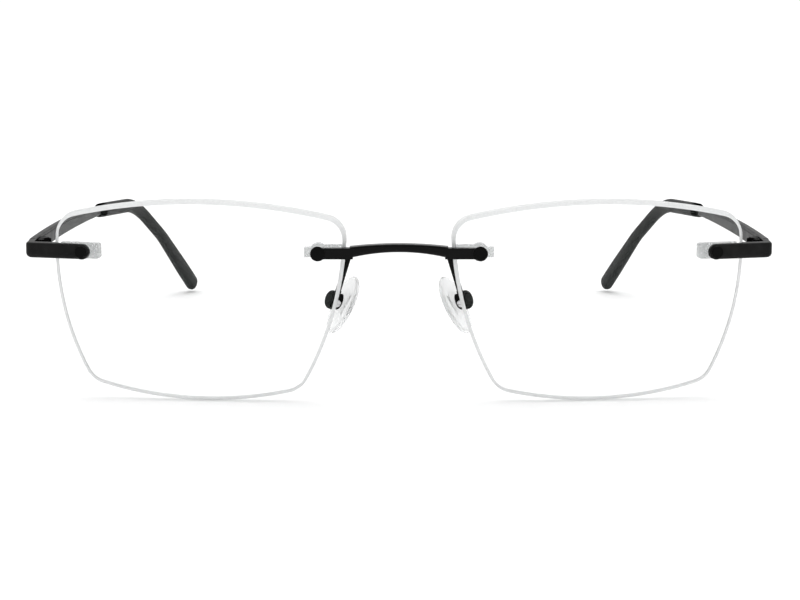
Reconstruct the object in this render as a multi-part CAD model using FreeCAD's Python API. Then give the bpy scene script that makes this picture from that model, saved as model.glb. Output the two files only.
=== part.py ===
import FreeCAD, Part
import math
import os

from FreeCAD import Placement, Rotation, Vector

# Rimless eyeglasses standing on the lower edges of their lenses and on their temple tips.
# Millimetres, +Z up, the front faces -Y, and the wearer's left is +X.
# Every "left" piece is modelled at +X and mirrored in the YZ plane for the right.
# While modelling, y = 0 is the front plane of the bridge; export moves y by FRONT_Y,
# so that the origin is on the floor at the centre of the footprint.

FRONT_Y = -71.96
BASE_Z = 0.457

X_AXIS = Vector(1, 0, 0)
Y_AXIS = Vector(0, 1, 0)
Z_AXIS = Vector(0, 0, 1)

# Lengths for cutting tools only: past anything they cut, and within rounding error.
THROUGH = 12.0
CLEAR_OF = 1.0
TINY = 0.01

# Lenses: a meniscus of two concentric spheres, cut to an outline of four large arcs.
LENS_CENTRE = Vector(37.0, 1.6, 21.205)
PANTOSCOPIC_TILT = 7.5
FACE_WRAP = 5.0
LENS_CURVE = 115.0
LENS_THICK = 2.4
LENS_BEVEL = 0.5
BLANK_FRONT = -2.0
BLANK_DEPTH = 14.0
# Each arc of the outline: centre out, centre up, radius (in the lens's own plane).
OUTLINE_ARCS = [
    (0.0, -75.0, 92.3),
    (0.6, 58.3, 80.5),
    (-28.05, 6.6, 56.5),
    (37.6, 12.5, 64.5),
]
CORNER_TOP_NASAL = 4.6
CORNER_TOP_TEMPORAL = 5.0
CORNER_BOTTOM_NASAL = 5.5
CORNER_BOTTOM_TEMPORAL = 4.5

# Compression mounts: each metal foot has a stud and a post that are pressed into
# the two barrels of a clear bushing, which fill two holes in the lens.
BARREL_R = 0.8
PIN_R = 0.5
PIN_PITCH = 2.6
PIN_OVERLAP = 0.4
BUSHING_THICK = 1.3
PLATE_ROUND_R = 1.72
PLATE_HALF = 1.35
PLATE_LONG = 4.4
NUB_HALF = 0.95
NUB_LONG = 2.65
PLUG_HALF = 1.5
PLUG_INNER = 2.7
PLUG_OUTER = 4.9
PLUG_CORNER_R = 0.6
GROOVE_COUNT = 4
GROOVE_FIRST = 0.34
GROOVE_PITCH = 0.45
GROOVE_DEEP = 0.3

# Bridge: a shallow arch between the lenses, with a thin foot on each lens front.
BRIDGE_DEPTH = 2.4
BRIDGE_HALF = 9.2
BRIDGE_TOP_END = 29.95
BRIDGE_TOP_MID = 30.48
BRIDGE_LOW_END = 27.8
BRIDGE_LOW_MID = 28.9
BRIDGE_EDGE_R = 0.35
BRIDGE_LOW_FRONT_R = 0.8
FOOT_Z = 28.7
FOOT_HALF = 1.05
FOOT_DEPTH = 1.8
FOOT_OVERLAP = 0.6
BRIDGE_STUD_X = 15.2
BRIDGE_CAP_R = 1.39
CAP_PROUD = 0.4
CAP_EDGE_R = 0.13

# Endpieces: a bar on the lens front that turns the corner into a side wall.
BAR_Z = 28.45
BAR_HALF = 1.47
BAR_ANGLE = 14.0
BAR_DEPTH = 2.0
END_STUD = Vector(59.8, 4.15, BAR_Z)
END_CAP_R = 1.18
WALL_OUT_X = 70.6
WALL_THICK = 1.5
BUTT_Y = 12.5
CORNER_R = 1.5
EDGE_R = 0.45
EDGE_LOW_R = 0.9
TONGUE_EDGE_R = 0.315

# Hinges: three barrels on a vertical screw, two on the endpiece and one on the temple.
HINGE_X = 67.7
KNUCKLE_R = 1.3
SCREW_R = 0.65
RUNNING_GAP = 0.05
SWEEP_GAP = 0.1
SCREW_HEAD_R = 0.9
SCREW_HEAD_TALL = 0.25
SCREW_SLOT_HALF = 0.13
RIVET_R = 0.4
RIVET_HEAD_R = 0.56
RIVET_HEAD_TALL = 0.18
RIVET_X = 68.0
RIVET_Y = 10.4
LEAF_INNER_X = 66.9
LEAF_FRONT_Y = 8.9
REAR_LEAF_INNER_X = 68.05
REAR_LEAF_OVERLAP = 0.3
REAR_LEAF_STEP = 0.2
LEAF_REAR_Y = 17.0

# Temples: a flat bar that runs straight back, then a wire inside a soft curved tip.
TEMPLE_THICK = 1.3
TEMPLE_INWARD = 3.3
TEMPLE_BROKEN_EDGE = 0.25
# The bar's side profile at three stations: y, middle height, half height.
TEMPLE_PROFILE = [
    (11.5, 28.45, 1.5),
    (50.0, 27.95, 1.38),
    (86.6, 26.0, 0.9),
]
# The tip's centre line: corner points of its runs, and the bend radius at each inner one.
TIP_POINTS = [
    Vector(65.72, 86.0, 26.15),
    Vector(60.45, 113.4, 24.2),
    Vector(55.5, 125.65, 15.25),
    Vector(49.5, 143.6, 0.61),
]
TIP_BENDS = [24.0, 60.0]
TIP_HALF_TALL = 1.65
TIP_HALF_THICK = 1.15
TIP_END_R = 0.7
CORE_R = 0.5
CORE_LAST_RUN = 0.6

# Nose pads: a clear pad on a hard core, whose tab rocks in a small metal box on an arm.
PAD_CENTRE = Vector(10.75, 10.0, 17.45)
PAD_FRONTAL = 27.0
PAD_SPLAY = 21.0
PAD_VERTICAL = 15.0
PAD_HALF_LONG = 6.2
PAD_HALF_WIDE = 3.5
PAD_THICK = 1.8
PAD_EDGE_R = 0.65
STEM_UP = 0.7
BOX_R = 1.8
BOX_NEAR = 1.3
BOX_FAR = 3.7
BOX_EDGE_R = 0.7
SLOT_HALF = 0.5
SLOT_END = 3.15
PIVOT_OUT = 2.2
PAD_SCREW_R = 0.42
PAD_SCREW_END = 1.4
PAD_SCREW_SEAT = -1.35
PAD_SCREW_HEAD_R = 0.75
PAD_SCREW_HEAD_TALL = 0.35
PAD_SCREW_SLOT_HALF = 0.11
PAD_SCREW_SLOT_DEEP = 0.15
HEAD_SEAT_GAP = 0.08
TAB_HALF = 0.45
TAB_R = 0.8
CORE_PLATE = (0.6, 2.4, 4.4)
ARM_R = 0.62
# The arm's straight runs meet at a bend: out of the bridge, bend, end in the box.
ARM_START = Vector(9.10, 1.5, 28.55)
ARM_BEND = Vector(9.35, 5.8, 28.15)
ARM_END = Vector(11.9, 8.5, 19.6)
ARM_BEND_R = 2.3


def cylinder(radius, start, direction, length):
    return Part.makeCylinder(radius, length, start, direction)


def box(low, high):
    size = high - low
    return Part.makeBox(size.x, size.y, size.z, low)


def mirrored(shape):
    return shape.mirror(Vector(0, 0, 0), X_AXIS)


def edges_along(shape, direction, tolerance=0.999):
    """The straight edges of a shape that run along a direction."""
    chosen = []
    for edge in shape.Edges:
        if isinstance(edge.Curve, Part.Line):
            if abs(edge.Curve.Direction.dot(direction)) > tolerance:
                chosen.append(edge)
    return chosen


def lens_place():
    turn = Rotation(X_AXIS, PANTOSCOPIC_TILT) * Rotation(Z_AXIS, FACE_WRAP)
    return Placement(LENS_CENTRE, turn)


def lens_ball(radius):
    """A ball on the lens's centre of curvature, in the finished position."""
    ball = Part.makeSphere(radius, Vector(0, LENS_CURVE, 0))
    ball.Placement = lens_place() * ball.Placement
    return ball


def lens_prism():
    """The lens outline as a straight block through the lens, with rounded corners."""
    prism = None
    for out, up, radius in OUTLINE_ARCS:
        centre = Vector(out, BLANK_FRONT, up)
        disc = cylinder(radius, centre, Y_AXIS, BLANK_DEPTH)
        if up < 0:
            # Turns the cylinder's seam away from the arc that bounds the lens.
            disc.rotate(centre, Y_AXIS, 180)
        prism = disc if prism is None else prism.common(disc)
    prism = prism.Solids[0]
    for edge in edges_along(prism, Y_AXIS):
        corner = edge.Vertexes[0].Point
        temporal = corner.x > 0
        if corner.z > 0:
            radius = CORNER_TOP_TEMPORAL if temporal else CORNER_TOP_NASAL
        else:
            radius = CORNER_BOTTOM_TEMPORAL if temporal else CORNER_BOTTOM_NASAL
        rounded = [e for e in edges_along(prism, Y_AXIS)
                   if e.Vertexes[0].Point.sub(corner).Length < TINY]
        prism = prism.makeFillet(radius, rounded)
    return prism


def lens_blank(bevel):
    """The meniscus before drilling, with or without its ground safety bevels."""
    outer = Part.makeSphere(LENS_CURVE, Vector(0, LENS_CURVE, 0))
    inner = Part.makeSphere(LENS_CURVE - LENS_THICK, Vector(0, LENS_CURVE, 0))
    blank = lens_prism().common(outer).cut(inner)
    if bevel:
        rims = []
        for face in blank.Faces:
            if isinstance(face.Surface, Part.Sphere):
                rims += face.Edges
        blank = blank.makeChamfer(bevel, rims)
    blank.Placement = lens_place() * blank.Placement
    return blank


def bar_out():
    angle = math.radians(BAR_ANGLE)
    return Vector(math.cos(angle), math.sin(angle), 0)


def bar_back():
    angle = math.radians(BAR_ANGLE)
    return Vector(-math.sin(angle), math.cos(angle), 0)


def mount_axes():
    """Both mounts of the left lens: stud axis point, post axis point, direction."""
    bridge_stud = Vector(BRIDGE_STUD_X, 0, FOOT_Z)
    bridge_post = bridge_stud - X_AXIS * PIN_PITCH
    end_post = END_STUD + bar_out() * PIN_PITCH
    return [(bridge_stud, bridge_post, Y_AXIS), (END_STUD, end_post, bar_back())]


def lens():
    glass = lens_blank(LENS_BEVEL)
    for stud, post, direction in mount_axes():
        for start in (stud, post):
            glass = glass.cut(cylinder(BARREL_R, start - direction, direction, THROUGH))
    return glass


def bridge():
    ends = [Vector(side * BRIDGE_HALF, 0, 0) for side in (-1, 1)]
    top = [end + Z_AXIS * BRIDGE_TOP_END for end in ends]
    low = [end + Z_AXIS * BRIDGE_LOW_END for end in ends]
    rim = Part.Wire([
        Part.Arc(top[0], Vector(0, 0, BRIDGE_TOP_MID), top[1]).toShape(),
        Part.makeLine(top[1], low[1]),
        Part.Arc(low[1], Vector(0, 0, BRIDGE_LOW_MID), low[0]).toShape(),
        Part.makeLine(low[0], top[0]),
    ])
    arch = Part.Face(rim).extrude(Vector(0, BRIDGE_DEPTH, 0))
    long_edges = [e for e in arch.Edges if e.Length > BRIDGE_HALF]
    between = (BRIDGE_TOP_END + BRIDGE_LOW_MID) / 2
    others = [e for e in long_edges
              if e.CenterOfMass.y > TINY or e.CenterOfMass.z > between]
    arch = arch.makeFillet(BRIDGE_EDGE_R, others)
    low_front = [e for e in arch.Edges if e.Length > BRIDGE_HALF
                 and e.CenterOfMass.y < TINY and e.CenterOfMass.z < between]
    arch = arch.makeFillet(BRIDGE_LOW_FRONT_R, low_front)
    stud, post, direction = mount_axes()[0]
    foot = box(Vector(BRIDGE_HALF - FOOT_OVERLAP, 0, FOOT_Z - FOOT_HALF),
               Vector(stud.x, FOOT_DEPTH, FOOT_Z + FOOT_HALF))
    foot = foot.fuse(cylinder(FOOT_HALF, stud, direction, FOOT_DEPTH))
    foot = foot.cut(lens_blank(0))
    foot = foot.fuse(post_pin(post, direction))
    foot = foot.cut(cylinder(PIN_R, stud - direction, direction, THROUGH))
    whole = arch
    for side in (foot, mirrored(foot)):
        whole = whole.fuse(side)
    return whole.removeSplitter()


def pin_length(start, direction):
    """From a mount's front point to just inside the back of its clear bushing."""
    ray = Part.makeLine(start, start + direction * THROUGH)
    inside = ray.common(lens_ball(LENS_CURVE - LENS_THICK))
    to_lens_back = THROUGH - inside.Length
    return to_lens_back + BUSHING_THICK


def post_pin(post, direction):
    """The pin that grows out of the back of a foot or bar into its barrel."""
    length = pin_length(post, direction) - PIN_OVERLAP
    return cylinder(PIN_R, post + direction * PIN_OVERLAP, direction, length)


def stud(start, direction, cap_radius):
    """A mount stud: a round cap on the front, and a pin through foot, lens and bushing."""
    cap = cylinder(cap_radius, start - direction * CAP_PROUD, direction, CAP_PROUD)
    front_rim = [e for e in cap.Edges if isinstance(e.Curve, Part.Circle)
                 and (e.CenterOfMass - start).dot(direction) < -CAP_PROUD / 2]
    cap = cap.makeFillet(CAP_EDGE_R, front_rim)
    return cap.fuse(cylinder(PIN_R, start, direction, pin_length(start, direction)))


def bushing(mount, plate):
    """A clear bushing: a plate on the back of the lens, with a barrel in each hole."""
    stud_start, post_start, direction = mount
    plug = plate.common(lens_ball(LENS_CURVE - LENS_THICK))
    blank = lens_blank(0)
    for start in (stud_start, post_start):
        plug = plug.fuse(blank.common(cylinder(BARREL_R, start - direction, direction, THROUGH)))
    for start in (stud_start, post_start):
        plug = plug.cut(cylinder(PIN_R, start - direction, direction, THROUGH))
    return plug.removeSplitter()


def bridge_bushing():
    mount = mount_axes()[0]
    start, direction = mount[0], mount[2]
    depth = pin_length(start, direction)
    plate = cylinder(PLATE_ROUND_R, start, direction, depth)
    plate = plate.fuse(box(Vector(start.x - PLATE_LONG, 0, FOOT_Z - PLATE_HALF),
                           Vector(start.x, depth, FOOT_Z + PLATE_HALF)))
    plate = plate.fuse(box(Vector(start.x, 0, FOOT_Z - NUB_HALF),
                           Vector(start.x + NUB_LONG, depth, FOOT_Z + NUB_HALF)))
    return bushing(mount, plate.removeSplitter())


def endpiece_bushing():
    mount = mount_axes()[1]
    start, direction = mount[0], mount[2]
    depth = pin_length(start, direction)
    plate = box(Vector(-PLUG_INNER, 0, -PLUG_HALF), Vector(PLUG_OUTER, depth, PLUG_HALF))
    inner_edges = [e for e in edges_along(plate, Y_AXIS) if e.Vertexes[0].Point.x < 0]
    plate = plate.makeFillet(PLUG_CORNER_R, inner_edges)
    for step in range(GROOVE_COUNT):
        left = -PLUG_INNER + GROOVE_FIRST + step * GROOVE_PITCH
        plate = plate.cut(box(Vector(left, depth - GROOVE_DEEP, -PLUG_HALF),
                              Vector(left + GROOVE_PITCH / 2, depth + CLEAR_OF, PLUG_HALF)))
    plate.Placement = Placement(start, Rotation(Z_AXIS, BAR_ANGLE))
    return bushing(mount, plate)


def endpiece():
    """Bar and side wall from their plan outline, then the post and the stud's bore."""
    out = bar_out()
    back = bar_back()
    corner_run = (WALL_OUT_X - END_STUD.x) / out.x
    front_corner = END_STUD + out * corner_run
    wall_in_x = WALL_OUT_X - WALL_THICK
    inner_run = (wall_in_x - (END_STUD + back * BAR_DEPTH).x) / out.x
    inner_corner = END_STUD + back * BAR_DEPTH + out * inner_run
    plan = [
        END_STUD,
        front_corner,
        Vector(WALL_OUT_X, BUTT_Y, BAR_Z),
        Vector(wall_in_x, BUTT_Y, BAR_Z),
        inner_corner,
        END_STUD + back * BAR_DEPTH,
        END_STUD,
    ]
    face = Part.Face(Part.makePolygon(plan))
    bar = face.extrude(Vector(0, 0, 2 * BAR_HALF))
    bar.translate(Vector(0, 0, -BAR_HALF))
    outside = [e for e in edges_along(bar, Z_AXIS)
               if e.Vertexes[0].Point.sub(front_corner).dot(X_AXIS) > -TINY
               and e.Vertexes[0].Point.y < BUTT_Y - CLEAR_OF]
    bar = bar.makeFillet(CORNER_R, outside)
    for level, radius in ((BAR_HALF, EDGE_R), (-BAR_HALF, EDGE_LOW_R)):
        rims = [e for e in bar.Edges
                if abs(e.CenterOfMass.z - BAR_Z - level) < TINY and is_outer_rim(e)]
        bar = bar.makeFillet(radius, rims)
    tongue = cylinder(BAR_HALF, END_STUD, back, BAR_DEPTH)
    tongue_rim = [e for e in tongue.Edges if isinstance(e.Curve, Part.Circle)
                  and (e.CenterOfMass - END_STUD).Length < TINY]
    tongue = tongue.makeFillet(TONGUE_EDGE_R, tongue_rim)
    bar = bar.fuse(tongue).cut(lens_blank(0))
    bar = bar.fuse(post_pin(END_STUD + out * PIN_PITCH, back))
    return bar.cut(cylinder(PIN_R, END_STUD - back, back, THROUGH)).removeSplitter()


def is_outer_rim(edge):
    """True for the edges of the endpiece's outer face: bar front, corner and wall side."""
    point = edge.CenterOfMass
    if point.x > WALL_OUT_X - 0.8 * CORNER_R and point.y < BUTT_Y - TINY:
        return True
    from_front = (point - END_STUD).dot(bar_back())
    return abs(from_front) < TINY


def hinge_levels():
    """The heights of the three barrels: lower, middle and upper, as (low, high)."""
    low = BAR_Z - BAR_HALF
    third = 2 * BAR_HALF / 3
    return [(low, low + third), (low + third + RUNNING_GAP, low + 2 * third - RUNNING_GAP),
            (low + 2 * third, low + 3 * third)]


def hinge_axis(z):
    return Vector(HINGE_X, BUTT_Y, z)


def hinge_front():
    lower, middle, upper = hinge_levels()
    wall_in_x = WALL_OUT_X - WALL_THICK
    leaf = box(Vector(LEAF_INNER_X, LEAF_FRONT_Y, lower[0]), Vector(wall_in_x, BUTT_Y, upper[1]))
    for low, high in (lower, upper):
        leaf = leaf.fuse(cylinder(KNUCKLE_R, hinge_axis(low), Z_AXIS, high - low))
    slot_low = lower[1]
    slot_high = upper[0]
    leaf = leaf.cut(cylinder(KNUCKLE_R + SWEEP_GAP, hinge_axis(slot_low), Z_AXIS,
                             slot_high - slot_low))
    tool_low = lower[0] - CLEAR_OF
    leaf = leaf.cut(cylinder(SCREW_R, hinge_axis(tool_low), Z_AXIS, THROUGH))
    leaf = leaf.cut(cylinder(RIVET_R, Vector(RIVET_X, RIVET_Y, tool_low), Z_AXIS, THROUGH))
    return leaf.cut(endpiece()).removeSplitter()


def hinge_rear():
    lower, middle, upper = hinge_levels()
    leaf_out_x = WALL_OUT_X - TEMPLE_THICK + REAR_LEAF_OVERLAP
    leaf = box(Vector(REAR_LEAF_INNER_X, BUTT_Y, lower[0] + REAR_LEAF_STEP),
               Vector(leaf_out_x, LEAF_REAR_Y, upper[1] - REAR_LEAF_STEP))
    for low, high in ((lower[0], middle[0]), (middle[1], upper[1])):
        leaf = leaf.cut(cylinder(KNUCKLE_R + SWEEP_GAP, hinge_axis(low), Z_AXIS, high - low))
    leaf = leaf.fuse(cylinder(KNUCKLE_R, hinge_axis(middle[0]), Z_AXIS, middle[1] - middle[0]))
    leaf = leaf.cut(cylinder(SCREW_R + RUNNING_GAP, hinge_axis(lower[0]), Z_AXIS, THROUGH))
    return leaf.cut(temple()).removeSplitter()


def hinge_screw():
    low = BAR_Z - BAR_HALF
    top = BAR_Z + BAR_HALF
    shank = cylinder(SCREW_R, hinge_axis(low), Z_AXIS, top - low)
    head = cylinder(SCREW_HEAD_R, hinge_axis(top), Z_AXIS, SCREW_HEAD_TALL)
    slot_low = hinge_axis(top + SCREW_HEAD_TALL / 2)
    slot_top = hinge_axis(top + CLEAR_OF)
    slot_corner = Vector(CLEAR_OF, SCREW_SLOT_HALF, 0)
    slot = box(slot_low - slot_corner, slot_top + slot_corner)
    return shank.fuse(head).cut(slot).removeSplitter()


def hinge_rivet():
    low = BAR_Z - BAR_HALF
    top = BAR_Z + BAR_HALF
    shank = cylinder(RIVET_R, Vector(RIVET_X, RIVET_Y, low), Z_AXIS, top - low)
    head = cylinder(RIVET_HEAD_R, Vector(RIVET_X, RIVET_Y, top), Z_AXIS, RIVET_HEAD_TALL)
    return shank.fuse(head).removeSplitter()


def temple_bar():
    """The flat bar: a tapered side profile, as thick as the wall that it butts."""
    top = [Vector(0, y, middle + half) for y, middle, half in TEMPLE_PROFILE]
    low = [Vector(0, y, middle - half) for y, middle, half in TEMPLE_PROFILE]
    rim = Part.Wire([
        Part.Arc(*top).toShape(),
        Part.makeLine(top[2], low[2]),
        Part.Arc(low[2], low[1], low[0]).toShape(),
        Part.makeLine(low[0], top[0]),
    ])
    bar = Part.Face(rim).extrude(Vector(TEMPLE_THICK, 0, 0))
    bar.translate(Vector(WALL_OUT_X - TEMPLE_THICK, 0, 0))
    bar.rotate(Vector(WALL_OUT_X, BUTT_Y, 0), Z_AXIS, TEMPLE_INWARD)
    in_front = box(Vector(WALL_OUT_X - THROUGH, 0, 0), Vector(WALL_OUT_X + THROUGH, BUTT_Y, 2 * BAR_Z))
    bar = bar.cut(in_front)
    long_edges = [e for e in bar.Edges if e.Length > THROUGH]
    return bar.makeChamfer(TEMPLE_BROKEN_EDGE, long_edges)


def rounded_path(points, radii):
    """Straight runs joined by arcs tangent to both, one radius for each inner point."""
    edges = []
    run_start = points[0]
    for before, corner, after, radius in zip(points, points[1:], points[2:], radii):
        towards_before = (before - corner).normalize()
        towards_after = (after - corner).normalize()
        half_angle = towards_before.getAngle(towards_after) / 2
        run = radius / math.tan(half_angle)
        arc_start = corner + towards_before * run
        arc_end = corner + towards_after * run
        inward = (towards_before + towards_after).normalize()
        arc_middle = corner + inward * (radius / math.sin(half_angle) - radius)
        edges.append(Part.makeLine(run_start, arc_start))
        edges.append(Part.Arc(arc_start, arc_middle, arc_end).toShape())
        run_start = arc_end
    edges.append(Part.makeLine(run_start, points[-1]))
    return Part.Wire(edges)


def tip_core():
    """The round wire inside the tip, which grows out of the bar's rear end."""
    last = TIP_POINTS[-2] + (TIP_POINTS[-1] - TIP_POINTS[-2]) * CORE_LAST_RUN
    path = rounded_path(TIP_POINTS[:-1] + [last], TIP_BENDS)
    ring = Part.Circle(TIP_POINTS[0], TIP_POINTS[1] - TIP_POINTS[0], CORE_R)
    return path.makePipeShell([Part.Wire([ring.toShape()])], True, False)


def tip_sleeve():
    """The soft tip: an upright ellipse swept along its path, with a rounded free end."""
    along = (TIP_POINTS[1] - TIP_POINTS[0]).normalize()
    side = along.cross(Z_AXIS).normalize()
    upward = side.cross(along).normalize()
    start = TIP_POINTS[0]
    ellipse = Part.Ellipse(start + upward * TIP_HALF_TALL, start + side * TIP_HALF_THICK, start)
    ring = Part.Wire([ellipse.toShape()])
    sleeve = rounded_path(TIP_POINTS, TIP_BENDS).makePipeShell([ring], True, False)
    end_rim = [e for e in sleeve.Edges if e.CenterOfMass.sub(TIP_POINTS[-1]).Length < TINY]
    return sleeve.makeFillet(TIP_END_R, end_rim)


def temple():
    return temple_bar().fuse(tip_core())


def temple_tip():
    return tip_sleeve().cut(temple())


def pad_place():
    turn = (Rotation(X_AXIS, PAD_VERTICAL) * Rotation(Y_AXIS, -PAD_FRONTAL)
            * Rotation(Z_AXIS, -PAD_SPLAY))
    return Placement(PAD_CENTRE, turn)


def placed_on_pad(shape):
    """From the pad's own axes (x outward, y back, z up its length) to the glasses."""
    shape.Placement = pad_place() * shape.Placement
    return shape


def pad_core():
    thick, wide, tall = CORE_PLATE
    plate = box(Vector(-thick / 2, -wide / 2, STEM_UP - tall / 2),
                Vector(thick / 2, wide / 2, STEM_UP + tall / 2))
    tab = box(Vector(0, -TAB_HALF, STEM_UP - TAB_R), Vector(PIVOT_OUT, TAB_HALF, STEM_UP + TAB_R))
    eye = cylinder(TAB_R, Vector(PIVOT_OUT, -TAB_HALF, STEM_UP), Y_AXIS, 2 * TAB_HALF)
    bore = cylinder(PAD_SCREW_R + RUNNING_GAP, Vector(PIVOT_OUT, -TAB_R, STEM_UP), Y_AXIS, THROUGH)
    return placed_on_pad(plate.fuse(tab).fuse(eye).cut(bore).removeSplitter())


def nose_pad():
    oval = Part.Ellipse(Vector(0, 0, PAD_HALF_LONG), Vector(0, PAD_HALF_WIDE, 0), Vector(0, 0, 0))
    face = Part.Face(Part.Wire([oval.toShape()]))
    pad = face.extrude(X_AXIS * PAD_THICK)
    pad.translate(X_AXIS * (-PAD_THICK / 2))
    pad = pad.makeFillet(PAD_EDGE_R, [e for e in pad.Edges if isinstance(e.Curve, Part.Ellipse)])
    return placed_on_pad(pad).cut(pad_core())


def pad_box():
    shell = cylinder(BOX_R, Vector(BOX_NEAR, 0, STEM_UP), X_AXIS, BOX_FAR - BOX_NEAR)
    far_rim = [e for e in shell.Edges if isinstance(e.Curve, Part.Circle)
               and e.CenterOfMass.x > BOX_FAR - TINY]
    shell = shell.makeFillet(BOX_EDGE_R, far_rim)
    shell = shell.cut(box(Vector(0, -SLOT_HALF, STEM_UP - BOX_R),
                          Vector(SLOT_END, SLOT_HALF, STEM_UP + BOX_R)))
    before_box = Vector(PIVOT_OUT, -THROUGH / 2, STEM_UP)
    seat_depth = PAD_SCREW_SEAT + THROUGH / 2
    head_seat = cylinder(PAD_SCREW_HEAD_R + HEAD_SEAT_GAP, before_box, Y_AXIS, seat_depth)
    bore = cylinder(PAD_SCREW_R, before_box, Y_AXIS, THROUGH)
    return placed_on_pad(shell.cut(head_seat).cut(bore))


def pad_screw():
    seat = Vector(PIVOT_OUT, PAD_SCREW_SEAT, STEM_UP)
    front = seat - Y_AXIS * PAD_SCREW_HEAD_TALL
    shank = cylinder(PAD_SCREW_R, seat, Y_AXIS, PAD_SCREW_END - PAD_SCREW_SEAT)
    head = cylinder(PAD_SCREW_HEAD_R, front, Y_AXIS, PAD_SCREW_HEAD_TALL)
    slot = box(front - Vector(CLEAR_OF, CLEAR_OF, PAD_SCREW_SLOT_HALF),
               front + Vector(CLEAR_OF, PAD_SCREW_SLOT_DEEP, PAD_SCREW_SLOT_HALF))
    return placed_on_pad(shank.fuse(head).cut(slot).removeSplitter())


def pad_arm():
    path = rounded_path([ARM_START, ARM_BEND, ARM_END], [ARM_BEND_R])
    ring = Part.Wire([Part.Circle(ARM_START, ARM_BEND - ARM_START, ARM_R).toShape()])
    rod = path.makePipeShell([ring], True, True)
    hollow_box = cylinder(BOX_R, Vector(BOX_NEAR, 0, STEM_UP), X_AXIS, BOX_FAR - BOX_NEAR)
    return rod.cut(bridge()).cut(placed_on_pad(hollow_box))


def export(name, shape):
    shape = shape.copy()
    shape.translate(Vector(0, FRONT_Y, BASE_Z))
    shape.exportStep("parts/" + name + ".step")


def export_pair(name, shape):
    export(name + "_left", shape)
    export(name + "_right", mirrored(shape))


os.makedirs("parts", exist_ok=True)
bridge_mount, end_mount = mount_axes()
export("bridge", bridge())
export_pair("lens", lens())
export_pair("bridge_stud", stud(bridge_mount[0], bridge_mount[2], BRIDGE_CAP_R))
export_pair("bridge_bushing", bridge_bushing())
export_pair("endpiece", endpiece())
export_pair("endpiece_stud", stud(end_mount[0], end_mount[2], END_CAP_R))
export_pair("endpiece_bushing", endpiece_bushing())
export_pair("hinge_front", hinge_front())
export_pair("hinge_rear", hinge_rear())
export_pair("hinge_screw", hinge_screw())
export_pair("hinge_rivet", hinge_rivet())
export_pair("temple", temple())
export_pair("temple_tip", temple_tip())
export_pair("pad_arm", pad_arm())
export_pair("pad_box", pad_box())
export_pair("pad_screw", pad_screw())
export_pair("pad_core", pad_core())
export_pair("nose_pad", nose_pad())
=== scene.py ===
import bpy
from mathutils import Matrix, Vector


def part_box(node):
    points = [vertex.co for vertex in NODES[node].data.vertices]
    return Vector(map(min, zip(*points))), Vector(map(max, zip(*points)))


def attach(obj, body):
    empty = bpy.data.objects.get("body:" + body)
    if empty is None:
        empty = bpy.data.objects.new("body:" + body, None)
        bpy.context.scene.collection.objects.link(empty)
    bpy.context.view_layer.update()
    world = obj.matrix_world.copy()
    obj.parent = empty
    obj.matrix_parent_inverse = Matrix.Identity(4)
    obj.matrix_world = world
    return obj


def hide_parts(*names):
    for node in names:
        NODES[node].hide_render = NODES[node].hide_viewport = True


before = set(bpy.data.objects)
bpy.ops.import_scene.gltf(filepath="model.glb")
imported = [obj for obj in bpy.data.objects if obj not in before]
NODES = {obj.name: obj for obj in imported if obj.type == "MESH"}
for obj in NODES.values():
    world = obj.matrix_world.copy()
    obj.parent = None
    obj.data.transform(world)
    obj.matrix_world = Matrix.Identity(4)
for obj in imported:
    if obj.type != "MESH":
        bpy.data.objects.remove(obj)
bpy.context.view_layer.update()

import math

import bpy
import numpy as np
from mathutils import Euler, Vector

MM = 0.001
SCENE = bpy.context.scene

# Lens: the outline, curve and tilt of the CAD lens, with a wider bevel.
LENS_CURVE = 115.0
LENS_THICK = 2.4
LENS_TILT = 7.5
LENS_WRAP = 5.0
LENS_BEVEL = 0.64
# Each arc of the outline: centre (out, up), radius, and the corner that follows it.
OUTLINE = [
    ((0.0, -75.0), 92.3, 5.0),
    ((-28.05, 6.6), 56.5, 4.5),
    ((0.6, 58.3), 80.5, 5.5),
    ((37.6, 12.5), 64.5, 4.6),
]
RIM_POINTS = 420
LENS_RINGS = 26
HOLE_R = 0.8
HOLE_SIDES = 56
HOLE_REACH = 8.0
PIN_PITCH = 2.6
# The stud in each mount, the angle of its axis, and the way to the second hole.
MOUNTS = [("bridge_stud_left", 0.0, -1), ("endpiece_stud_left", 14.0, 1)]
# How near a point has to be to a ball to lie on it, and to a hole's axis, in hole radii.
ON_BALL = 0.004
NEAR_HOLE = 1.15

# Temple bar and tip.
BUTT_Y = 12.5
WALL_OUT_X = 70.6
BAR_THICK = 1.3
BAR_INWARD = 3.3
BAR_END_Y = 86.5
BAR_STEPS = 90
BAR_ROUND_R = 0.28
# The bar's side profile at three stations: y, middle height, half height.
BAR_PROFILE = [(11.5, 28.45, 1.5), (50.0, 27.95, 1.38), (86.6, 26.0, 0.9)]
# The pressed line: how far below the top edge, and its section as (up, depth).
LINE_DOWN = 0.62
LINE_SECTION = [(0.12, 0.0), (0.06, 0.05), (0.0, 0.13), (-0.06, 0.05), (-0.12, 0.0)]
TIP_POINTS = [
    (65.72, 86.0, 26.15),
    (60.45, 113.4, 24.2),
    (55.5, 125.65, 15.25),
    (49.5, 143.6, 0.61),
]
TIP_BENDS = [24.0, 60.0]
TIP_STEP = 0.8
TIP_SIDES = 44
TIP_SQUARENESS = 0.88
# Half height and half thickness of the tip at shares of its length.
TIP_TALL = ([0, 0.06, 0.3, 0.45, 0.62, 0.85, 1.0], [1.48, 1.55, 1.55, 1.50, 1.42, 1.78, 1.80])
TIP_THICK = ([0, 0.2, 0.5, 0.75, 0.9, 1.0], [1.10, 1.05, 1.02, 1.18, 1.34, 1.34])
TIP_END_R = 1.75
TIP_END_SHORT = 0.25
# How far along the sleeve the painted shade at its mouth reaches: a darker black standing in for
# the shadow there.
MOUTH_SHADE_LONG = 3.6
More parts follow.
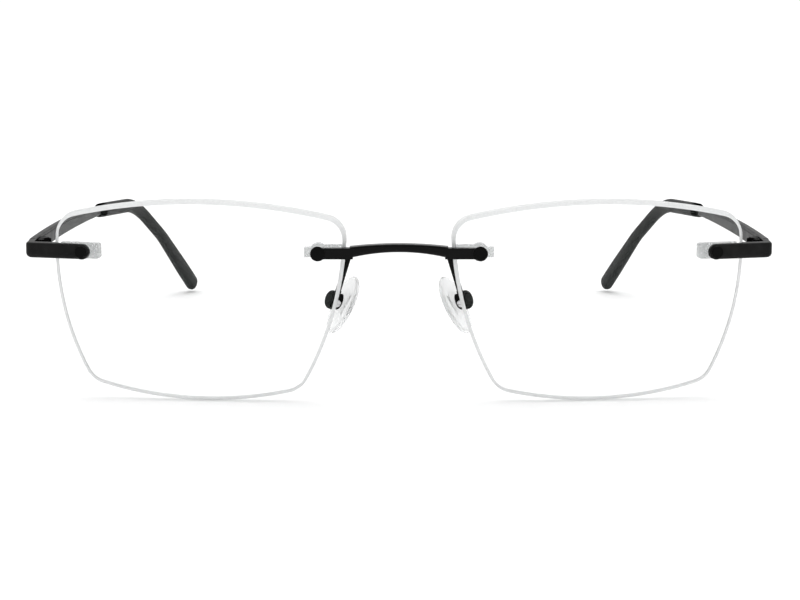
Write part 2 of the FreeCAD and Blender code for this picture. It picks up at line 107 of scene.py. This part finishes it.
# The lead-in at the mouth: rings as (less height, less thickness, how far along).
MOUTH_RINGS = [(0.35, 0.38, 0.0), (0.2, 0.3, 0.03), (0.1, 0.2, 0.3), (0.03, 0.06, 0.7)]

# Nose pad.
PAD_FRONTAL = 27.0
PAD_SPLAY = 21.0
PAD_VERTICAL = 15.0
PAD_HALF_LONG = 6.2
PAD_HALF_WIDE = 3.5
PAD_THICK = 1.8
PAD_SIDES = 72
PAD_LAYERS = 28

# Camera: straight on and a little above, aimed at a height above the drawing's zero.
CAMERA_ELEVATION = 9.0
CAMERA_DISTANCE = 500.0
CAMERA_X = 0.19
CAMERA_AIM_Z = 20.0

# Where the drawing's own zero stands in the row frame, from the boxes of the bridge and its stud.
FOOT_Z = 28.7
FRONT_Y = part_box("bridge")[0].y / MM
BASE_Z = (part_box("bridge_stud_left")[0].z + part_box("bridge_stud_left")[1].z) / 2 / MM - FOOT_Z


# ---------------------------------------------------------------- helpers

def in_row(point, side):
    """From the drawing's axes in mm to the row frame in metres."""
    return Vector((side * point[0] * MM, (point[1] + FRONT_Y) * MM, (point[2] + BASE_Z) * MM))


def box_middle(node):
    """The middle of a node's box, in the drawing's axes."""
    low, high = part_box(node)
    return (low + high) / 2 / MM - Vector((0, FRONT_Y, BASE_Z))


def new_object(name, verts_mm, faces, side=1):
    """A mesh object from points in the drawing's axes; side -1 mirrors it to the wearer's right."""
    points = [in_row(Vector(v), side) for v in verts_mm]
    if side < 0:
        faces = [tuple(reversed(f)) for f in faces]
    mesh = bpy.data.meshes.new(name)
    mesh.from_pydata(points, [], faces)
    mesh.validate()
    mesh.update()
    obj = bpy.data.objects.new(name, mesh)
    SCENE.collection.objects.link(obj)
    return obj


def smooth(obj, angle=30.0):
    for p in obj.data.polygons:
        p.use_smooth = True
    obj.data.set_sharp_from_angle(angle=math.radians(angle))


def tube(rings, close_start=True, close_end=True):
    """Vertices and faces of a skin over rings of points, all with the same count."""
    n = len(rings[0])
    verts = [tuple(p) for ring in rings for p in ring]
    faces = []
    for i in range(len(rings) - 1):
        a, b = i * n, (i + 1) * n
        for k in range(n):
            m = (k + 1) % n
            faces.append((a + k, a + m, b + m, b + k))
    if close_start:
        faces.append(tuple(reversed(range(n))))
    if close_end:
        faces.append(tuple(range((len(rings) - 1) * n, len(rings) * n)))
    return verts, faces


def rounded_path(points, radii, step):
    """Points along straight runs joined by arcs, about step apart."""
    points = [Vector(p) for p in points]
    runs = []
    at = points[0]
    for before, corner, after, radius in zip(points, points[1:], points[2:], radii):
        to_before = (before - corner).normalized()
        to_after = (after - corner).normalized()
        half = to_before.angle(to_after) / 2
        run = radius / math.tan(half)
        start, end = corner + to_before * run, corner + to_after * run
        centre = corner + (to_before + to_after).normalized() * radius / math.sin(half)
        runs.append(("line", at, start, None))
        runs.append(("arc", start, end, centre))
        at = end
    runs.append(("line", at, points[-1], None))
    out = [points[0]]
    for kind, a, b, c in runs:
        if kind == "line":
            count = max(1, round((b - a).length / step))
            out += [a.lerp(b, i / count) for i in range(1, count + 1)]
        else:
            u, v = a - c, b - c
            angle = u.angle(v)
            count = max(2, round(angle * u.length / step))
            for i in range(1, count + 1):
                t = i / count
                w = (u * math.sin((1 - t) * angle) + v * math.sin(t * angle)) / math.sin(angle)
                out.append(c + w)
    return out


def put_on(obj, body, slot_name, *replaced):
    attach(obj, body)
    if replaced:
        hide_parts(*replaced)


# ---------------------------------------------------------------- materials

class Look:
    """A node material around one Principled shader."""

    def __init__(self, name, **values):
        self.mat = bpy.data.materials.new(name)
        self.mat.use_nodes = True
        self.tree = self.mat.node_tree
        self.tree.nodes.clear()
        self.out = self.node("ShaderNodeOutputMaterial")
        self.shader = self.node("ShaderNodeBsdfPrincipled")
        self.tree.links.new(self.shader.outputs[0], self.out.inputs["Surface"])
        for key, value in values.items():
            self.shader.inputs[key.replace("_", " ")].default_value = value
        self.where = self.node("ShaderNodeTexCoord").outputs["Object"]

    def node(self, kind, **settings):
        n = self.tree.nodes.new(kind)
        for key, value in settings.items():
            setattr(n, key, value)
        return n

    def link(self, a, b):
        self.tree.links.new(a, b)

    def noise(self, per_mm, detail=3.0, stretch=None):
        """Noise whose grain is 1/per_mm across; stretch scales the three directions."""
        n = self.node("ShaderNodeTexNoise")
        n.inputs["Scale"].default_value = per_mm / MM
        n.inputs["Detail"].default_value = detail
        if stretch:
            m = self.node("ShaderNodeMapping")
            m.inputs["Scale"].default_value = stretch
            self.link(self.where, m.inputs["Vector"])
            self.link(m.outputs[0], n.inputs["Vector"])
        else:
            self.link(self.where, n.inputs["Vector"])
        return n.outputs["Fac"]

    def ramp(self, source, stops):
        r = self.node("ShaderNodeValToRGB")
        e = r.color_ramp.elements
        while len(e) < len(stops):
            e.new(0.5)
        for el, (pos, colour) in zip(e, stops):
            el.position = pos
            el.color = (*colour, 1) if hasattr(colour, "__len__") else (colour, colour, colour, 1)
        self.link(source, r.inputs[0])
        return r.outputs["Color"]

    def vary(self, socket, source, low, high):
        """Drives one number of the shader between low and high."""
        m = self.node("ShaderNodeMapRange")
        m.inputs["From Min"].default_value = 0.3
        m.inputs["From Max"].default_value = 0.7
        m.inputs["To Min"].default_value = low
        m.inputs["To Max"].default_value = high
        self.link(source, m.inputs["Value"])
        self.link(m.outputs["Result"], self.shader.inputs[socket])

    def colour(self, source, stops):
        self.link(self.ramp(source, stops), self.shader.inputs["Base Color"])

    def bump(self, *layers):
        """Each layer: (height source, height in mm)."""
        last = None
        for source, height in layers:
            b = self.node("ShaderNodeBump")
            b.inputs["Strength"].default_value = 1.0
            b.inputs["Distance"].default_value = height * MM
            self.link(source, b.inputs["Height"])
            if last:
                self.link(last, b.inputs["Normal"])
            last = b.outputs["Normal"]
        self.link(last, self.shader.inputs["Normal"])

    def lit_through(self, tint):
        """Shadow rays pass, tinted: clear pieces then leave only a faint shadow."""
        clear = self.node("ShaderNodeBsdfTransparent")
        clear.inputs["Color"].default_value = (*tint, 1)
        path = self.node("ShaderNodeLightPath")
        mix = self.node("ShaderNodeMixShader")
        self.link(path.outputs["Is Shadow Ray"], mix.inputs["Fac"])
        self.link(self.shader.outputs[0], mix.inputs[1])
        self.link(clear.outputs[0], mix.inputs[2])
        self.link(mix.outputs[0], self.out.inputs["Surface"])


def black_coat(name, grey, rough, grain=6.0, height=0.003, stretch=None, sheen=0.5):
    """Satin black coating on metal: fine orange peel, a little mottling and drift of gloss."""
    look = Look(name, IOR=1.5, Specular_IOR_Level=sheen)
    peel = look.noise(grain, 3.0, stretch)
    cloud = look.noise(0.35, 4.0)
    look.colour(cloud, [(0.3, grey * 0.75), (0.7, grey * 1.3)])
    look.vary("Roughness", cloud, rough * 0.88, rough * 1.14)
    look.bump((peel, height))
    return look.mat


def glass_look():
    """Polished glass with a faint smear; its reflections are cut, as by a coating."""
    look = Look("lens_polished", Transmission_Weight=1.0, IOR=1.5, Roughness=0.0)
    look.shader.inputs["Specular Tint"].default_value = (0.14, 0.16, 0.15, 1.0)
    look.colour(look.noise(0.08, 2.0), [(0.3, (0.968, 0.972, 0.972)), (0.7, (0.978, 0.981, 0.981))])
    smear = look.noise(0.15, 5.0, (1.0, 1.0, 0.4))
    look.vary("Roughness", smear, 0.0, 0.012)
    look.lit_through((0.95, 0.955, 0.955))
    return look.mat


def ground_edge_look():
    """The ground lens edge: matt, white grey, with fine wheel marks along it."""
    look = Look("lens_ground_edge", Roughness=0.5, IOR=1.5, Transmission_Weight=0.55,
                Specular_IOR_Level=0.3)
    marks = look.noise(2.6, 4.0, (1.0, 8.0, 1.0))
    look.colour(marks, [(0.25, (0.66, 0.67, 0.67)), (0.75, (0.80, 0.81, 0.81))])
    look.bump((marks, 0.01))
    look.lit_through((0.75, 0.75, 0.75))
    return look.mat


def bevel_look():
    """The small ground bevels beside the edge: a little glossier than the edge itself."""
    look = Look("lens_bevel", Roughness=0.4, IOR=1.5, Transmission_Weight=0.4,
                Specular_IOR_Level=0.4)
    marks = look.noise(3.0, 3.0)
    look.colour(marks, [(0.25, (0.64, 0.65, 0.65)), (0.75, (0.76, 0.77, 0.77))])
    look.bump((marks, 0.006))
    look.lit_through((0.75, 0.75, 0.75))
    return look.mat


def clear_plastic(name, ior, roughness, tint, shadow, grain=1.5, clear=1.0):
    """Clear or slightly milky plastic with faint flow marks; shadow tints what light it passes."""
    look = Look(name, Transmission_Weight=clear, IOR=ior)
    flow = look.noise(grain, 3.0)
    tint = (tint, tint, tint) if isinstance(tint, float) else tint
    look.colour(look.noise(0.5, 3.0), [(0.3, tint), (0.7, tuple(min(1.0, c * 1.03) for c in tint))])
    look.vary("Roughness", flow, *roughness)
    look.bump((flow, 0.004))
    look.lit_through((shadow, shadow, shadow))
    return look.mat


def steel_look():
    """Bare turned steel of the pad screws."""
    look = Look("pad_screw_steel", Metallic=1.0)
    turned = look.noise(5.0, 4.0, (1.0, 6.0, 1.0))
    look.colour(turned, [(0.3, (0.50, 0.50, 0.51)), (0.7, (0.72, 0.72, 0.73))])
    look.vary("Roughness", turned, 0.22, 0.38)
    look.bump((turned, 0.003))
    return look.mat


GLASS = glass_look()
GROUND = ground_edge_look()
BEVEL = bevel_look()
HOLE = clear_plastic("lens_hole_wall", 1.5, (0.2, 0.4), 0.9, 0.9)
COAT = black_coat("front_black_coat", 0.015, 0.36, sheen=0.03)
COAT_BRIDGE = black_coat("bridge_black_coat", 0.002, 0.22, sheen=0.10)
COAT_CAP = black_coat("stud_cap_black", 0.0035, 0.40, sheen=0.05)
COAT_BOX = black_coat("pad_box_black", 0.007, 0.42, sheen=0.02)
COAT_HINGE = black_coat("hinge_black_coat", 0.002, 0.3, sheen=0.0)
COAT_TEMPLE = black_coat("temple_black_coat", 0.010, 0.42, 5.0, 0.003, (1.0, 0.25, 1.0), sheen=0.11)
COAT_SCREW = black_coat("hinge_screw_black", 0.003, 0.28, sheen=0.008)
TIP = black_coat("tip_black_matt", 0.011, 0.46, 2.2, 0.008, sheen=0.075)
# Painted shade: a darker, unreflecting copy of the tip's black, put on the sleeve's mouth for the
# shadow there.
TIP_MOUTH_SHADE = black_coat("tip_mouth_painted_shade", 0.003, 0.50, 2.2, 0.006, sheen=0.0)
PLUG = clear_plastic("clear_bushing", 1.42, (0.18, 0.30), (0.74, 0.75, 0.75), 0.8, clear=0.7)
SILICONE = clear_plastic("clear_silicone", 1.16, (0.14, 0.24), (0.90, 0.905, 0.905), 0.85,
                         grain=0.8, clear=0.72)
CORE = clear_plastic("pad_core_clear", 1.06, (0.05, 0.12), 0.92, 0.95)
STEEL = steel_look()


def paint(node, material):
    obj = NODES[node]
    obj.data.materials.clear()
    obj.data.materials.append(material)


# ---------------------------------------------------------------- lenses

def outline_points(count):
    """The lens outline in its own plane: arcs joined by rounded corners, with outward normals."""
    fillets = []
    for i, (centre_a, radius_a, corner_r) in enumerate(OUTLINE):
        centre_b, radius_b, _ = OUTLINE[(i + 1) % 4]
        a, b = Vector(centre_a), Vector(centre_b)
        reach_a, reach_b = radius_a - corner_r, radius_b - corner_r
        d = (b - a).length
        along = (reach_a ** 2 - reach_b ** 2 + d ** 2) / (2 * d)
        across = math.sqrt(reach_a ** 2 - along ** 2)
        axis = (b - a) / d
        normal = Vector((-axis.y, axis.x))
        options = [a + axis * along + normal * across * s for s in (1, -1)]
        # The corner wanted lies inside the other two arcs as well.
        others = [Vector(OUTLINE[(i + k) % 4][0]) for k in (2, 3)]
        reach = [OUTLINE[(i + k) % 4][1] for k in (2, 3)]
        inside = [p for p in options if all((p - o).length < r for o, r in zip(others, reach))]
        fillets.append((inside[0], corner_r))
    pieces = []
    for i, (centre, radius, _) in enumerate(OUTLINE):
        c = Vector(centre)
        start = (fillets[i - 1][0] - c).normalized()
        end = (fillets[i][0] - c).normalized()
        pieces.append((c, radius, start, end))
        f, r = fillets[i]
        nxt = Vector(OUTLINE[(i + 1) % 4][0])
        pieces.append((f, r, end, (f - nxt).normalized()))
    total = sum(r * u.angle(v) for _, r, u, v in pieces)
    points = []
    for c, r, u, v in pieces:
        a0 = math.atan2(u.y, u.x)
        a1 = math.atan2(v.y, v.x)
        turn = (a1 - a0 + math.pi) % (2 * math.pi) - math.pi
        n = max(4, round(count * abs(turn) * r / total))
        for k in range(n):
            a = a0 + turn * k / n
            out = Vector((math.cos(a), math.sin(a)))
            points.append((c + out * r, out))
    return points


def lens_depth(x, z, radius):
    return LENS_CURVE - math.sqrt(radius ** 2 - x * x - z * z)


def lens_turn():
    """From the lens's own axes to the drawing's: face wrap, then tilt."""
    tilt = Euler((math.radians(LENS_TILT), 0, 0)).to_matrix()
    return tilt @ Euler((0, 0, math.radians(LENS_WRAP))).to_matrix()


def hole_axes():
    """Point and direction of each drilled hole of the left lens, from the studs' own boxes."""
    holes = []
    for stud, angle, way in MOUNTS:
        a = math.radians(angle)
        out = Vector((math.cos(a), math.sin(a), 0))
        back = Vector((-math.sin(a), math.cos(a), 0))
        middle = box_middle(stud)
        holes.append((middle, back))
        holes.append((middle + out * way * PIN_PITCH, back))
    return holes


def lens_skin():
    """The undrilled lens in its own axes: front ball, bevel, edge, bevel and back ball."""
    rim = outline_points(RIM_POINTS)
    n = len(rim)
    front_r, back_r = LENS_CURVE, LENS_CURVE - LENS_THICK
    verts = []
    faces = []

    def add_ring(scale, inset, radius, extra):
        """One ring at a share of the outline, on the ball of that radius, moved extra mm back."""
        start = len(verts)
        for p, out in rim:
            q = (p - out * inset) * scale
            verts.append((q.x, lens_depth(q.x, q.y, radius) + extra, q.y))
        return start

    def join(a, b):
        for k in range(n):
            m = (k + 1) % n
            faces.append((a + k, a + m, b + m, b + k))

    verts.append((0.0, lens_depth(0, 0, front_r), 0.0))
    ring = [add_ring(k / LENS_RINGS, LENS_BEVEL, front_r, 0) for k in range(1, LENS_RINGS + 1)]
    for k in range(n):
        faces.append((0, ring[0] + (k + 1) % n, ring[0] + k))
    for a, b in zip(ring, ring[1:]):
        join(a, b)
    wall_front = add_ring(1.0, 0.0, front_r, LENS_BEVEL)
    wall_back = add_ring(1.0, 0.0, back_r, -LENS_BEVEL)
    join(ring[-1], wall_front)
    join(wall_front, wall_back)
    back = [add_ring(k / LENS_RINGS, LENS_BEVEL, back_r, 0) for k in range(LENS_RINGS, 0, -1)]
    join(wall_back, back[0])
    for a, b in zip(back, back[1:]):
        join(a, b)
    verts.append((0.0, lens_depth(0, 0, back_r), 0.0))
    last = len(verts) - 1
    for k in range(n):
        faces.append((last, back[-1] + k, back[-1] + (k + 1) % n))
    return verts, faces


def lens_move(turned):
    """How far the turned lens has to move, so that its box is centred on the CAD lens's box."""
    low = Vector([min(p[i] for p in turned) for i in range(3)])
    high = Vector([max(p[i] for p in turned) for i in range(3)])
    return box_middle("lens_left") - (low + high) / 2


def drill(obj, side):
    """Cuts the four round holes."""
    verts = []
    faces = []
    n = HOLE_SIDES
    up = Vector((0, 0, 1))
    for middle, back in hole_axes():
        across = back.cross(up).normalized()
        start = len(verts)
        for end in (-HOLE_REACH, HOLE_REACH):
            for k in range(n):
                a = 2 * math.pi * k / n
                p = middle + back * end
                verts.append(p + across * (HOLE_R * math.cos(a)) + up * (HOLE_R * math.sin(a)))
        for k in range(n):
            m = (k + 1) % n
            faces.append((start + k, start + m, start + n + m, start + n + k))
        faces.append(tuple(start + k for k in reversed(range(n))))
        faces.append(tuple(start + n + k for k in range(n)))
    cutter = new_object(obj.name + "_cutter", verts, faces, side)
    cut = obj.modifiers.new("holes", "BOOLEAN")
    cut.operation = "DIFFERENCE"
    cut.solver = "EXACT"
    cut.object = cutter
    depsgraph = bpy.context.evaluated_depsgraph_get()
    drilled = bpy.data.meshes.new_from_object(obj.evaluated_get(depsgraph))
    obj.modifiers.clear()
    obj.data = drilled
    bpy.data.objects.remove(cutter)


# What a face of the lens belongs to, and the material slot of each.
FRONT, BACK, WALL, FRONT_BEVEL, BACK_BEVEL, HOLE_WALL = range(6)
LENS_SLOTS = {FRONT: 0, BACK: 0, WALL: 1, FRONT_BEVEL: 2, BACK_BEVEL: 2, HOLE_WALL: 3}


def lens_kinds(mesh, centre, side):
    """The kind of every face, from its distance to the balls and to the holes."""
    co = np.empty(len(mesh.vertices) * 3)
    mesh.vertices.foreach_get("co", co)
    dist = np.linalg.norm(co.reshape(-1, 3) - np.array(centre), axis=1) / MM
    on_front = np.abs(dist - LENS_CURVE) < ON_BALL
    on_back = np.abs(dist - (LENS_CURVE - LENS_THICK)) < ON_BALL
    holes = [(in_row(m, side), Vector((side * d.x, d.y, 0))) for m, d in hole_axes()]

    def in_hole(c):
        for middle, direction in holes:
            away = (c - middle) - direction * (c - middle).dot(direction)
            if away.length < NEAR_HOLE * HOLE_R * MM:
                return True
        return False

    kinds = []
    for p in mesh.polygons:
        ids = list(p.vertices)
        if all(on_front[i] for i in ids):
            kinds.append(FRONT)
        elif all(on_back[i] for i in ids):
            kinds.append(BACK)
        elif in_hole(p.center):
            kinds.append(HOLE_WALL)
        elif any(on_front[i] for i in ids):
            kinds.append(FRONT_BEVEL)
        elif any(on_back[i] for i in ids):
            kinds.append(BACK_BEVEL)
        else:
            kinds.append(WALL)
    return kinds


def lens_normals(mesh, centre, kinds):
    """Exact normals on the two polished balls, and smooth ones within each ground surface."""
    sums = {k: {} for k in (WALL, FRONT_BEVEL, BACK_BEVEL, HOLE_WALL)}
    for p in mesh.polygons:
        own = sums.get(kinds[p.index])
        if own is not None:
            for i in p.vertices:
                own[i] = own.get(i, Vector()) + p.normal * p.area
    normals = [None] * len(mesh.loops)
    for p in mesh.polygons:
        kind = kinds[p.index]
        for loop in p.loop_indices:
            i = mesh.loops[loop].vertex_index
            outward = mesh.vertices[i].co - centre
            if kind == BACK:
                outward = centre - mesh.vertices[i].co
            elif kind != FRONT:
                outward = sums[kind][i]
            normals[loop] = tuple(outward.normalized())
    mesh.normals_split_custom_set(normals)


def make_lens(side, name, node):
    verts, faces = lens_skin()
    turn = lens_turn()
    turned = [turn @ Vector(v) for v in verts]
    move = lens_move(turned)
    obj = new_object(name, [p + move for p in turned], faces, side)
    drill(obj, side)
    mesh = obj.data
    mesh.materials.clear()
    for material in (GLASS, GROUND, BEVEL, HOLE):
        mesh.materials.append(material)
    centre = in_row(turn @ Vector((0, LENS_CURVE, 0)) + move, side)
    kinds = lens_kinds(mesh, centre, side)
    for p in mesh.polygons:
        p.material_index = LENS_SLOTS[kinds[p.index]]
        p.use_smooth = True
    lens_normals(mesh, centre, kinds)
    put_on(obj, "front", "lens", node)


for side, word in ((1, "left"), (-1, "right")):
    make_lens(side, "lens_ground_" + word, "lens_" + word)


# ---------------------------------------------------------------- temples

def arc_height(y, sign):
    """Edge height of the CAD bar's profile: the circle through its three stations."""
    a, b, c = [Vector((at, middle + sign * half)) for at, middle, half in BAR_PROFILE]
    d = 2 * (a.x * (b.y - c.y) + b.x * (c.y - a.y) + c.x * (a.y - b.y))
    ux = (a.dot(a) * (b.y - c.y) + b.dot(b) * (c.y - a.y) + c.dot(c) * (a.y - b.y)) / d
    uy = (a.dot(a) * (c.x - b.x) + b.dot(b) * (a.x - c.x) + c.dot(c) * (b.x - a.x)) / d
    r = math.hypot(a.x - ux, a.y - uy)
    return uy + math.sqrt(r * r - (y - ux) ** 2)


def rounded_corner(x, z, start):
    """A quarter turn of the bar's edge round, from an angle in degrees."""
    angles = [math.radians(start + 90 * k / 6) for k in range(7)]
    return [(x + BAR_ROUND_R * math.cos(a), z + BAR_ROUND_R * math.sin(a)) for a in angles]


def bar_ring(y):
    """The bar's section at a station: rounded edges, and the pressed line on the inner face."""
    top, low = arc_height(y, 1) - BAR_ROUND_R, arc_height(y, -1) + BAR_ROUND_R
    x_out = WALL_OUT_X - BAR_ROUND_R
    x_face = WALL_OUT_X - BAR_THICK
    x_in = x_face + BAR_ROUND_R
    line = arc_height(y, 1) - LINE_DOWN
    ring = rounded_corner(x_out, top, 0) + rounded_corner(x_in, top, 90)
    ring += [(x_face + depth, line + up) for up, depth in LINE_SECTION]
    return ring + rounded_corner(x_in, low, 180) + rounded_corner(x_out, low, 270)


def make_bar(side, name, node):
    """The flat temple, leaning inward from the butt."""
    angle = math.radians(BAR_INWARD)
    rings = []
    for i in range(BAR_STEPS + 1):
        y = BUTT_Y + (BAR_END_Y - BUTT_Y) * i / BAR_STEPS
        along = y - BUTT_Y
        placed = []
        for x, z in bar_ring(y):
            dx = x - WALL_OUT_X
            px = WALL_OUT_X + dx * math.cos(angle) - along * math.sin(angle)
            py = BUTT_Y + dx * math.sin(angle) + along * math.cos(angle)
            placed.append((px, max(py, BUTT_Y), z))
        rings.append(placed)
    obj = new_object(name, *tube(rings), side)
    smooth(obj, 28)
    obj.data.materials.append(COAT_TEMPLE)
    put_on(obj, "temple_" + name.split("_")[-1], "black_temple", node)


def tip_section(share):
    """Half height and half thickness at a share of the tip's length."""
    return np.interp(share, *TIP_TALL), np.interp(share, *TIP_THICK)


def tip_ring(p, along, tall, thick):
    """One upright oval around the tip's path."""
    sideways = along.cross(Vector((0, 0, 1))).normalized()
    up = sideways.cross(along).normalized()
    out = []
    for k in range(TIP_SIDES):
        a = 2 * math.pi * k / TIP_SIDES
        c, s = math.cos(a), math.sin(a)
        u = math.copysign(abs(c) ** TIP_SQUARENESS, c) * thick
        v = math.copysign(abs(s) ** TIP_SQUARENESS, s) * tall
        out.append(tuple(p + sideways * u + up * v))
    return out


def tip_rings(path):
    """The lead-in at the mouth, the run along the path, and the rounded end."""
    count = len(path)
    lengths = [0.0]
    for a, b in zip(path, path[1:]):
        lengths.append(lengths[-1] + (b - a).length)
    total = lengths[-1]
    tangents = []
    for i in range(count):
        before, after = path[max(0, i - 1)], path[min(count - 1, i + 1)]
        tangents.append((after - before).normalized())
    rings = []
    along = tangents[0]
    tall, thick = tip_section(0)
    for less_tall, less_thick, ahead in MOUTH_RINGS:
        rings.append(tip_ring(path[0] + along * ahead, along, tall - less_tall, thick - less_thick))
    for i in range(1, count):
        if total - lengths[i] < TIP_END_R:
            break
        rings.append(tip_ring(path[i], tangents[i], *tip_section(lengths[i] / total)))
    along = tangents[-1]
    tall, thick = tip_section(1.0)
    for k in range(10):
        a = math.radians(90 * k / 9)
        shrink = max(0.03, math.cos(a)) ** 0.8
        before_end = TIP_END_R * (1 - math.sin(a)) + TIP_END_SHORT
        rings.append(tip_ring(path[-1] - along * before_end, along, tall * shrink, thick * shrink))
    return rings


def make_tip(side, name, node):
    """The soft sleeve: slim at the bend, fuller towards its end, with painted shade at its mouth:
    its first faces get a darker black that stands in for the shadow there.
    """
    path = rounded_path(TIP_POINTS, TIP_BENDS, TIP_STEP)
    obj = new_object(name, *tube(tip_rings(path)), side)
    smooth(obj, 40)
    obj.data.materials.append(TIP)
    obj.data.materials.append(TIP_MOUTH_SHADE)
    # Faces near the mouth get the painted shade.
    shade_end = (FRONT_Y + path[0].y + MOUTH_SHADE_LONG) * MM
    for p in obj.data.polygons:
        if p.center.y < shade_end:
            p.material_index = 1
    put_on(obj, "temple_" + name.split("_")[-1], "black_tip", node)


for side, word in ((1, "left"), (-1, "right")):
    make_bar(side, "temple_bar_" + word, "temple_" + word)
    make_tip(side, "tip_sleeve_" + word, "temple_tip_" + word)


# ---------------------------------------------------------------- nose pads

def make_pad(side, name, node):
    """A clear silicone pad: an oval that is domed on both faces."""
    turn = (Euler((math.radians(PAD_VERTICAL), 0, 0)).to_matrix()
            @ Euler((0, math.radians(-PAD_FRONTAL), 0)).to_matrix()
            @ Euler((0, 0, math.radians(-PAD_SPLAY))).to_matrix())
    middle = box_middle("nose_pad_left")
    rings = []
    for j in range(PAD_LAYERS + 1):
        a = math.radians(-90 + 180 * j / PAD_LAYERS)
        share = max(0.0, math.cos(a)) ** 0.55
        share = max(share, 0.02)
        depth = PAD_THICK / 2 * math.copysign(abs(math.sin(a)) ** 0.85, math.sin(a))
        ring = []
        for k in range(PAD_SIDES):
            b = 2 * math.pi * k / PAD_SIDES
            c, s = math.cos(b), math.sin(b)
            y = PAD_HALF_WIDE * share * math.copysign(abs(c) ** 0.95, c)
            z = PAD_HALF_LONG * share * math.copysign(abs(s) ** 0.95, s)
            ring.append(tuple(turn @ Vector((depth, y, z)) + middle))
        rings.append(ring)
    obj = new_object(name, *tube(rings), side)
    smooth(obj, 60)
    obj.data.materials.append(SILICONE)
    put_on(obj, "pad_" + name.split("_")[-1], "clear_pad", node)


for side, word in ((1, "left"), (-1, "right")):
    make_pad(side, "pad_silicone_" + word, "nose_pad_" + word)


# ---------------------------------------------------------------- CAD pieces that stay

paint("bridge", COAT_BRIDGE)
for word in ("left", "right"):
    paint("endpiece_" + word, COAT)
    paint("bridge_stud_" + word, COAT_CAP)
    paint("endpiece_stud_" + word, COAT_CAP)
    paint("bridge_bushing_" + word, PLUG)
    paint("endpiece_bushing_" + word, PLUG)
    paint("hinge_front_" + word, COAT_HINGE)
    paint("hinge_rear_" + word, COAT_HINGE)
    paint("hinge_screw_" + word, COAT_SCREW)
    paint("hinge_rivet_" + word, COAT_SCREW)
    paint("pad_arm_" + word, COAT_BOX)
    paint("pad_box_" + word, COAT_BOX)
    paint("pad_screw_" + word, STEEL)
    paint("pad_core_" + word, CORE)


# ---------------------------------------------------------------- floor, light, camera

def make_floor():
    """A plain white floor, in metres, just below what stands on it."""
    half = 6.0
    mesh = bpy.data.meshes.new("floor")
    corners = [(-half, -half, 0), (half, -half, 0), (half, half, 0), (-half, half, 0)]
    mesh.from_pydata(corners, [], [(0, 1, 2, 3)])
    obj = bpy.data.objects.new("floor", mesh)
    obj.location.z = -0.00005
    SCENE.collection.objects.link(obj)
    look = Look("floor_white", Roughness=0.9, Specular_IOR_Level=0.0)
    look.colour(look.noise(0.01, 2.0), [(0.3, 0.90), (0.7, 0.905)])
    obj.data.materials.append(look.mat)


def make_world():
    """White all round, brighter above, and dimmer from the front so that black stays black."""
    world = bpy.data.worlds.new("studio")
    SCENE.world = world
    world.use_nodes = True
    tree = world.node_tree
    tree.nodes.clear()
    out = tree.nodes.new("ShaderNodeOutputWorld")
    back = tree.nodes.new("ShaderNodeBackground")
    where = tree.nodes.new("ShaderNodeTexCoord")
    parts = tree.nodes.new("ShaderNodeSeparateXYZ")

    def mapped(axis, span, strengths):
        node = tree.nodes.new("ShaderNodeMapRange")
        node.inputs["From Min"].default_value, node.inputs["From Max"].default_value = span
        node.inputs["To Min"].default_value, node.inputs["To Max"].default_value = strengths
        tree.links.new(parts.outputs[axis], node.inputs["Value"])
        return node.outputs["Result"]

    both = tree.nodes.new("ShaderNodeMath")
    both.operation = "MULTIPLY"
    tree.links.new(where.outputs["Generated"], parts.inputs[0])
    tree.links.new(mapped("Y", (-0.9, -0.05), (0.30, 1.0)), both.inputs[0])
    tree.links.new(mapped("Z", (0.0, 1.0), (1.0, 2.0)), both.inputs[1])
    tree.links.new(both.outputs[0], back.inputs["Strength"])
    tree.links.new(back.outputs[0], out.inputs["Surface"])


def area_light(name, location, target, size, power):
    data = bpy.data.lights.new(name, "AREA")
    data.shape = "SQUARE"
    data.size = size
    data.energy = power
    obj = bpy.data.objects.new(name, data)
    obj.location = location
    towards = Vector(target) - Vector(location)
    obj.rotation_euler = towards.to_track_quat("-Z", "Y").to_euler()
    SCENE.collection.objects.link(obj)


def make_camera():
    elevation = math.radians(CAMERA_ELEVATION)
    distance = CAMERA_DISTANCE * MM
    target = Vector((CAMERA_X * MM, FRONT_Y * MM, (CAMERA_AIM_Z + BASE_Z) * MM))
    data = bpy.data.cameras.new("camera")
    data.lens = 120.4
    data.sensor_width = 36.0
    data.clip_start = 0.01
    data.clip_end = 50
    obj = bpy.data.objects.new("camera", data)
    obj.location = target + Vector((0, -math.cos(elevation), math.sin(elevation))) * distance
    obj.rotation_euler = (target - obj.location).to_track_quat("-Z", "Y").to_euler()
    SCENE.collection.objects.link(obj)
    SCENE.camera = obj


make_floor()
make_world()
area_light("softbox_top", (0.0, 0.25, 1.1), (0, 0, 0), 1.2, 3.5)
make_camera()
SCENE.view_settings.view_transform = "Standard"

bpy.context.view_layer.update()
